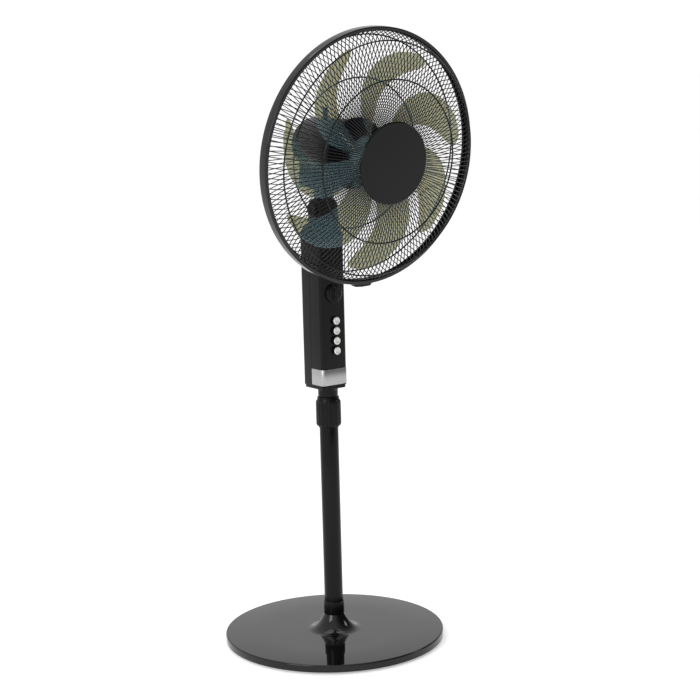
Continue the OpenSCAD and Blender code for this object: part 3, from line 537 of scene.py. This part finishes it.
# Radius over (z, angle): the larger of the turned body and the chin, blended over SOFT mm. The chin reaches
# CHIN_DOWN below the fan axis and is CHIN_HALF wide to each side, and rounds off in front and behind.
back_rows = DOME_Z - 22 * np.cos(np.radians(np.linspace(0, 90, 22)))
rows_z = np.concatenate([back_rows, np.linspace(DOME_Z + 2, 58.6, 58), [59.6, HOUSING_FRONT]])
turn_down = np.arange(HOUSING_AROUND) * 2 * np.pi / HOUSING_AROUND
grid_z, grid_a = np.meshgrid(rows_z, turn_down, indexing="ij")
chin_half = np.where(grid_z > 0, np.sqrt(np.clip(CHIN_HALF ** 2 - grid_z ** 2, 0, None)),
                     np.where(grid_z > -30, CHIN_HALF,
                              CHIN_HALF * np.sqrt(np.clip(1 - ((grid_z + 30) / 28) ** 2, 0, 1))))
from_down = np.abs((grid_a + np.pi / 2 + np.pi) % (2 * np.pi) - np.pi)
chin_reach = np.minimum(CHIN_DOWN / np.maximum(np.cos(from_down), 0.05),
                        chin_half / np.maximum(np.sin(from_down), 0.004))
chin_reach = np.where(from_down < np.pi / 2, chin_reach, 0)
plain = body_radius(grid_z)
plain = np.where(grid_z > 59.7, plain - 0.6, plain)
gap = np.clip(0.5 + 0.5 * (chin_reach - plain) / SOFT, 0, 1)
housing_r = plain * (1 - gap) + chin_reach * gap + SOFT * gap * (1 - gap)
housing_r = np.where(plain < 1, 0, housing_r)
housing_points = np.stack([housing_r * np.cos(grid_a), housing_r * np.sin(grid_a), grid_z], -1).reshape(-1, 3)
front_ring = housing_points[-HOUSING_AROUND:]
inner_ring = front_ring * [0.95, 0.95, 1]
housing_points = np.concatenate([housing_points, inner_ring, [[0, 0, 56]]])
centre = len(housing_points) - 1
housing_faces = grid_quads(len(rows_z) + 1, HOUSING_AROUND, False, True)
housing_faces += [[centre - HOUSING_AROUND + k, centre - HOUSING_AROUND + (k + 1) % HOUSING_AROUND, centre]
                  for k in range(HOUSING_AROUND)]
piece("motor_rear_housing", [(housing_points, housing_faces)], "head", satin_black, ["rear_housing"],
      on_fan_axis, crease=42)

LOUVRE_W, LOUVRE_H, LOUVRE_PITCH, LOUVRE_LIFT = 29, 23, 8, 1.5
# A skin on the dome: z = dome - lift over (x, y), where the lift is a flat-topped cosine of x that repeats
# at the pitch, faded out at the patch's edges. Its back lies 3 mm inside the housing.
louvre_x, louvre_y = np.meshgrid(np.linspace(-LOUVRE_W, LOUVRE_W, 117), np.linspace(-LOUVRE_H, LOUVRE_H, 25),
                                 indexing="ij")
edge_fade = (np.clip((LOUVRE_W - np.abs(louvre_x)) / 1.5, 0, 1)
             * np.clip((LOUVRE_H - np.abs(louvre_y)) / 2.5, 0, 1))
louvre_wave = 0.5 + 0.5 * np.tanh(2.5 * np.cos(2 * np.pi * (louvre_x + 4) / LOUVRE_PITCH))
louvre_z = (DOME_Z - 22 * np.sqrt(1 - (louvre_x ** 2 + louvre_y ** 2) / DOME_R ** 2)
            - (louvre_wave * LOUVRE_LIFT * edge_fade - 0.35))
louvre = np.stack([louvre_x, louvre_y, louvre_z], -1)
piece("rear_vent_louvres", [two_sheets(louvre, louvre + [0, 0, 3])], "head", satin_black, (),
      on_fan_axis, crease=60)

piece("motor_front_cover", [turned(
    [(0, 60.1), (54, 60.1), (54, 66)] + fillet(50, 68, 4, 0, 70, 6)
    + [(44, 76.4), (38, 79.6), (30, 81.6), (24.6, 82.4),
     (24, 82.6), (24, 83.9), (17, 83.9), (17, 103.4), (16.4, 104), (4.2, 104), (4.2, 90), (0, 90)], 96)],
    "head", satin_black, ["front_motor_cover"], on_fan_axis)

# ---- Swing knob ----
# A small pull knob on top of the housing, with a grip groove below its flat top. Its stem goes down
# through the housing to the gear case.
piece("swing_pull_knob", [turned(
    [(0, 38), (4.5, 38), (4.5, 57.5), (4.1, 58.2), (4.1, 59.8), (4.5, 60.5)]
    + fillet(3.5, 65.2, 1, 0, 90, 4) + [(0, 66.2)], 48)],
    "swing_knob", satin_black, ["swing_knob"],
    lambda p: on_fan_axis(np.stack([p[:, 0], p[:, 2], -7 - p[:, 1]], -1)))

# ---- Grilles ----
# Two bowls of straight radial wires with a gloss black coat. Each wire drops steeply from the rim, bends at
# the shoulder and runs to the hub; round hoops are welded on top of the wires, and a heavier hoop is the rim.
WIRES, WIRE_R, HOOP_R, RIM_WIRE_R = 150, 0.85, 1.3, 2.1
RING_FRONT, RING_REAR, GUARD_R = 133, 114.4, 220
RIM_R = 214.3


def bent_wire_path(rim, shoulder, hub, sag, forwards):
    """Points (radius, forward): the rim, two at the shoulder's bend, then a circular arc to the hub that
    stands sag proud of its chord."""
    rim, shoulder, hub = (np.array(p, float) for p in (rim, shoulder, hub))
    chord = np.linalg.norm(hub - shoulder)
    radius = (chord ** 2 / 4 + sag ** 2) / (2 * sag)
    along = (hub - shoulder) / chord
    out = np.array([along[1], -along[0]])
    out *= np.sign(out[1]) * forwards
    t = np.concatenate([[0.012], np.linspace(0.13, 1, 8)]) * chord
    lift = np.sqrt(radius ** 2 - (t - chord / 2) ** 2) - (radius - sag)
    arc = shoulder + t[:, None] * along + lift[:, None] * out
    return np.concatenate([[rim, shoulder * 0.93 + rim * 0.07], arc])


def wire_fan(path, count, offset, sides=5):
    """The path's round wire, repeated round the fan axis. The wire's section is a small polygon square to the
    path, whose plane holds the axis."""
    step = np.gradient(path, axis=0)
    out = np.stack([-step[:, 1], step[:, 0]], -1) / np.linalg.norm(step, axis=1)[:, None]
    a = np.arange(sides) * 2 * np.pi / sides
    radial = path[:, None, 0] + out[:, None, 0] * WIRE_R * np.cos(a)
    height = path[:, None, 1] + out[:, None, 1] * WIRE_R * np.cos(a)
    side = np.broadcast_to(WIRE_R * np.sin(a), radial.shape)
    turns = (np.arange(count) + offset) * 2 * np.pi / count
    x = radial[None] * np.cos(turns)[:, None, None] - side[None] * np.sin(turns)[:, None, None]
    y = radial[None] * np.sin(turns)[:, None, None] + side[None] * np.cos(turns)[:, None, None]
    points = np.stack([x, y, np.broadcast_to(height, x.shape)], -1).reshape(-1, 3)
    one = np.array(grid_quads(len(path), sides, False, True))[:, ::-1]
    per_wire = len(path) * sides
    quads = (one[None] + (np.arange(count) * per_wire)[:, None, None]).reshape(-1, 4).tolist()
    caps = []
    for k in range(count):
        caps += [[k * per_wire + s for s in range(sides)],
                 [(k + 1) * per_wire - sides + s for s in range(sides)][::-1]]
    return points, quads + caps


def hoop(radius, z, wire, around=240, sides=10):
    """A torus of that wire round the fan axis."""
    a = np.arange(sides) * 2 * np.pi / sides
    return turned(np.stack([radius + wire * np.cos(a), z + wire * np.sin(a)], -1), around, closed=True)


coated_wire = moulding("coated_wire", (0.004, 0.004, 0.005), 0.18, grain=700, depth=0.05, spread=0.06,
                       ior=1.32)
front_path = bent_wire_path((RIM_R - 0.4, RING_FRONT - 4.4), (204, 150), (65, 187), 8.9, 1)
piece("front_grille_wires", [wire_fan(front_path, WIRES, 0.5)], "head", coated_wire, ["front_grille"],
      on_fan_axis, crease=80)
piece("front_grille_hoops", [hoop(RIM_R, RING_FRONT - 4.2, RIM_WIRE_R), hoop(199, RING_FRONT + 22, HOOP_R),
                             hoop(138, RING_FRONT + 46, HOOP_R), hoop(64, 187, 2)], "head", coated_wire, (),
      on_fan_axis, crease=80)
rear_path = bent_wire_path((RIM_R - 0.4, RING_REAR + 4.4), (205, 100.4), (60.5, 85.2), 4.9, -1)
piece("rear_grille_wires", [wire_fan(rear_path, WIRES, 0)], "head", coated_wire, ["rear_grille"],
      on_fan_axis, crease=80)
rear_plate = turned([(19.2, 84)] + [(61.6, 84), (62, 84.4), (62, 86), (61.6, 86.4)] + [(19.2, 86.4)], 96,
                    closed=True)
piece("rear_grille_hoops", [hoop(RIM_R, RING_REAR + 4.2, RIM_WIRE_R), hoop(203.5, RING_REAR - 16.4, HOOP_R),
                            hoop(130, RING_REAR - 28.9, HOOP_R), rear_plate], "head", coated_wire, (),
      on_fan_axis, crease=60)

# ---- Guard ring, clip and nut ----
# A moulded channel closes over both rims, and a clip with a small screw draws its ends together at the
# bottom. A ring nut with finger ribs holds the rear grille on the motor's nose.
gloss_moulding = moulding("gloss_moulding", (0.004, 0.004, 0.005), 0.1, grain=500, depth=0.02, spread=0.03,
                          ior=1.42)
piece("guard_channel_ring", [turned(
    [(214.2, RING_REAR)] + fillet(218, RING_REAR + 2, 2, -90, 0, 6) + fillet(218, RING_FRONT - 2, 2, 0, 90, 6)
    + [(214.2, RING_FRONT), (214.2, RING_FRONT - 1.9), (217.8, RING_FRONT - 1.9), (217.8, RING_REAR + 1.9),
       (214.2, RING_REAR + 1.9)], 240, closed=True)], "head", gloss_moulding, ["guard_ring"],
      on_fan_axis)

CLIP_LEFT, CLIP_RIGHT, CLIP_THICK = -20, 16, 3.9
# A pad over (across, deep) that follows the ring below it: its top is the ring's circle, and its underside
# hangs CLIP_THICK lower, rounding off towards all four edges.
clip_across, clip_deep = np.meshgrid(np.linspace(CLIP_LEFT, CLIP_RIGHT, 19),
                                     np.linspace(RING_REAR + 1, RING_FRONT - 1, 9), indexing="ij")
clip_soft = (np.clip(np.minimum(clip_across - CLIP_LEFT, CLIP_RIGHT - clip_across) / 1.6, 0, 1)
             * np.clip(np.minimum(clip_deep - RING_REAR - 1, RING_FRONT - 1 - clip_deep) / 1.6, 0, 1))
clip_low = -np.sqrt(GUARD_R ** 2 - clip_across ** 2) - 0.6 - CLIP_THICK * np.sqrt(clip_soft)
clip_high = -np.sqrt(GUARD_R ** 2 - clip_across ** 2) - 0.05
clip_under = np.stack([clip_across, clip_low, clip_deep], -1)
clip_top = np.stack([clip_across, clip_high, clip_deep], -1)
piece("ring_closing_clip", [two_sheets(clip_top, clip_under)], "head", satin_black, ["ring_clip"],
      on_fan_axis)

# A turned ring nut with 12 finger ribs that stand 2 mm proud of its barrel: each rib is a bell curve of the
# angle's share of its twelfth.
nut_points, nut_faces = turned([(17.1, 86.5), (29.6, 86.5), (30, 87), (30, 89), (29.6, 89.5), (24.6, 89.6),
                                (24, 90.2),
                                (24, 97.6), (23.2, 98.5), (17.1, 98.5)], 168, closed=True)
nut_reach = np.hypot(nut_points[:, 0], nut_points[:, 1])
nut_rib = (nut_reach > 22) * (nut_points[:, 2] > 89.8) * np.exp(
    -((np.arctan2(nut_points[:, 1], nut_points[:, 0]) * 12 / (2 * np.pi)) % 1 - 0.5) ** 2 * 60)
nut_points[:, :2] *= (1 + nut_rib * 2 / np.maximum(nut_reach, 1))[:, None]
piece("rear_grille_ring_nut", [(nut_points, nut_faces)], "head", satin_black, ["grille_nut"],
      on_fan_axis,
      crease=50)

# ---- Front cap ----
# A plain round cap in polished black with a shallow crown and a rolled edge. It clips into the hub hoop.
CAP_R, CAP_Z = 70, 181
crown = np.linspace(1, 0, 16) * (CAP_R - 3.6)
polished_black = moulding("polished_black", (0.0035, 0.0035, 0.004), 0.1, grain=300, depth=0.01,
                          spread=0.03, ior=1.3)
piece("front_round_cap", [turned(
    [(0, CAP_Z + 8.6), (57.8, CAP_Z + 8.2), (57.8, CAP_Z + 2.8), (60.1, CAP_Z + 2.8), (60.1, CAP_Z + 8.4),
     (67.6, CAP_Z + 7.7), (CAP_R - 0.4, CAP_Z + 7.7), (CAP_R, CAP_Z + 8.1)]
    + fillet(CAP_R - 2.6, CAP_Z + 8.6, 2.6, 5, 75, 8)
    + np.stack([crown, CAP_Z + 12.4 - 1.5 * (crown / CAP_R) ** 2], -1).tolist(), 144)], "head",
      polished_black, ["front_cap"],
    on_fan_axis, crease=40)

# ---- Blade and its nut ----
# Seven swept petals on a cupped hub, moulded in one in smoke-tinted clear plastic. Each petal is a thin,
# twisted sheet. A domed black nut with finger flutes holds it on the shaft.
# The petal over (q outwards, s across): the angle runs back with q squared and spreads by s times half_turn,
# which closes in an arc at the tip; z tilts with s and is cupped by 1 - s squared; a raised line runs down
# the middle of the top.
PETALS, ROOT_R, TIP_R, BLADE_Z, PETAL_T = 7, 30, 192, 129, 1.9
reach_steps, width_steps = 44, 20
q = ROOT_R + (TIP_R - ROOT_R) * np.sin(np.radians(90) * np.arange(reach_steps + 1) / reach_steps)[:, None]
s = (2 * np.arange(width_steps + 1) / width_steps - 1)[None]
half_turn = 15.8 * np.sqrt(np.maximum(0.0009, 1 - (np.maximum(q - 140, 0) / (TIP_R - 139.5)) ** 3))
petal_a = np.radians(98.3 - 0.0026 * np.maximum(q - 70, 0) ** 2 + s * half_turn)
petal_z = (BLADE_Z + (11 - 4.5 * (q / TIP_R) ** 2) * s * np.minimum(1, half_turn / 9) + 3 * (1 - s ** 2))
middle_line = 0.25 * np.exp(-(s * half_turn / 1.2) ** 2) * (q < 150)
thick = PETAL_T * (0.55 + 0.45 * (1 - s ** 4)) * np.minimum(1, (TIP_R + 3 - q) / 12) / 2
petal_x, petal_y = q * np.cos(petal_a), q * np.sin(petal_a)
petal_top = np.stack([petal_x, petal_y, petal_z + thick + middle_line], -1)
petal_under = np.stack([petal_x, petal_y, petal_z - thick], -1)
petal = two_sheets(petal_under, petal_top)
hub = turned([(4.2, 114), (11, 114), (11, 145), (33.8, 145), (34.6, 118), (33.8, 114), (35.2, 114),
              (36.4, 116), (37, 120),
              (37, 146), (36, 149), (33.4, 150), (4.2, 150)], 96, closed=True)

smoke = bpy.data.materials.new("smoke_plastic")
smoke.use_nodes = True
sn, sl = smoke.node_tree.nodes, smoke.node_tree.links
haze = sn["Principled BSDF"]
haze.inputs["Roughness"].default_value = 0.12
haze.inputs["IOR"].default_value = 1.49
glow = sn.new("ShaderNodeTexNoise")
glow.inputs["Scale"].default_value = 18
spot_at = sn.new("ShaderNodeTexCoord")
haze_tone = sn.new("ShaderNodeMix")
haze_tone.data_type = "RGBA"
haze_tone.inputs["A"].default_value = (0.15, 0.27, 0.34, 1)
haze_tone.inputs["B"].default_value = (0.19, 0.31, 0.39, 1)
clear = sn.new("ShaderNodeBsdfTransparent")
clear.inputs["Color"].default_value = (0.88, 0.82, 0.58, 1)
blend_in = sn.new("ShaderNodeMixShader")
blend_in.inputs[0].default_value = 0.40
sl.new(spot_at.outputs["Object"], glow.inputs["Vector"])
sl.new(glow.outputs["Fac"], haze_tone.inputs["Factor"])
sl.new(haze_tone.outputs["Result"], haze.inputs["Base Color"])
sl.new(clear.outputs[0], blend_in.inputs[1])
sl.new(haze.outputs[0], blend_in.inputs[2])
sl.new(blend_in.outputs[0], sn["Material Output"].inputs["Surface"])
piece("seven_petal_blade", [spun(petal, 360 / PETALS * k) for k in range(PETALS)] + [hub], "rotor", smoke,
      ["fan_blade"],
      on_fan_axis, crease=50)

# A turned dome with six finger flutes, 1.6 mm deep: each flute is a bell curve of the angle's share of its
# sixth, faded out at the bottom and towards the crown.
dome_points, dome_faces = turned([(0, 150.1), (18.6, 150.1), (19.6, 151), (20, 152.2), (20, 158)]
                                 + np.stack([8 + 12 * np.cos(np.radians(np.arange(5, 91, 5))),
                                             158 + 18 * np.sin(np.radians(np.arange(5, 91, 5)))],
                                            -1).tolist() + [(0, 176)], 144)
dome_reach = np.hypot(dome_points[:, 0], dome_points[:, 1])
flute = (dome_reach > 17) * np.interp(dome_points[:, 2], [150, 153, 160, 168], [0, 1, 1, 0]) * np.exp(
    -((np.arctan2(dome_points[:, 1], dome_points[:, 0]) * 6 / (2 * np.pi)) % 1 - 0.5) ** 2 * 50)
dome_points[:, :2] *= (1 - flute * 1.6 / np.maximum(dome_reach, 1))[:, None]
piece("blade_dome_nut", [(dome_points, dome_faces)], "rotor", satin_black, ["blade_nut"],
      on_fan_axis, crease=50)

# ---- Cord inlet ----
# A bushed hole low in the back of the box. A rubber ring with a rounded lip sits in it, and its inner end
# grips the wall from behind.


def facing_back(x, z):
    """Places a shape that was made round Z so that its top faces the back of the box."""
    return lambda p: np.stack([p[:, 0] + x, BOX_BACK + p[:, 2], z - p[:, 1]], -1)


piece("cord_inlet_bush", [turned([(3.6, -6), (6.4, -6), (6.4, -2.5), (5, -2.5), (5, 0), (7.2, 0), (7.5, 0.4)]
    + fillet(6.1, 1.6, 1.4, 0, 90, 6) + fillet(5.0, 1.6, 1.4, 90, 180, 6), 48,
                                 closed=True)],
      "mast", soft_rubber, ["cord_gland"], facing_back(0, 492), crease=50)

# ---- Working parts that stay as they are ----
# The cast base weight, bolts and screws, switch bank and timer, swing linkage, motor and bearings keep
# their solid shapes and get their own finishes.
plated_steel = moulding("plated_steel", (0.62, 0.62, 0.64), 0.24, grain=900, depth=0.03, metal=1)
cast_iron = moulding("cast_iron", (0.13, 0.13, 0.135), 0.62, grain=420, depth=0.5, metal=0.4)
pale_plastic = moulding("pale_plastic", (0.74, 0.72, 0.66), 0.42, grain=1100, depth=0.05)
cast_alloy = moulding("cast_alloy", (0.5, 0.5, 0.52), 0.48, grain=600, depth=0.25, metal=0.9)
laminated_iron = moulding("laminated_iron", (0.3, 0.3, 0.32), 0.5, grain=90, depth=0.3, metal=0.8,
                          stretch=(1, 14, 1))
copper_wire = moulding("copper_wire", (0.55, 0.24, 0.1), 0.35, grain=260, depth=0.5, metal=0.8)
bearing_bronze = moulding("bearing_bronze", (0.55, 0.4, 0.2), 0.38, grain=800, depth=0.15, metal=0.9)
working_parts = {
    cast_iron: ["base_weight"],
    plated_steel: ["base_bolt", "box_screws", "tilt_bolt", "swing_pin", "swing_stud", "motor_shaft",
                   "drive_pin", "crank",
                   "crank_link", "clip_screw"],
    satin_black: ["collar_bush"],
    pale_plastic: ["tube_guide", "switch_block", "timer_unit", "worm_wheel"],
    cast_alloy: ["swing_bracket", "gear_case"],
    laminated_iron: ["stator", "rotor"],
    copper_wire: ["motor_windings"],
    bearing_bronze: ["rear_bearing", "front_bearing"],
}
for finish, nodes_with_it in working_parts.items():
    for node_name in nodes_with_it:
        node_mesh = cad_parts[node_name].data
        node_mesh.materials.clear()
        node_mesh.materials.append(finish)
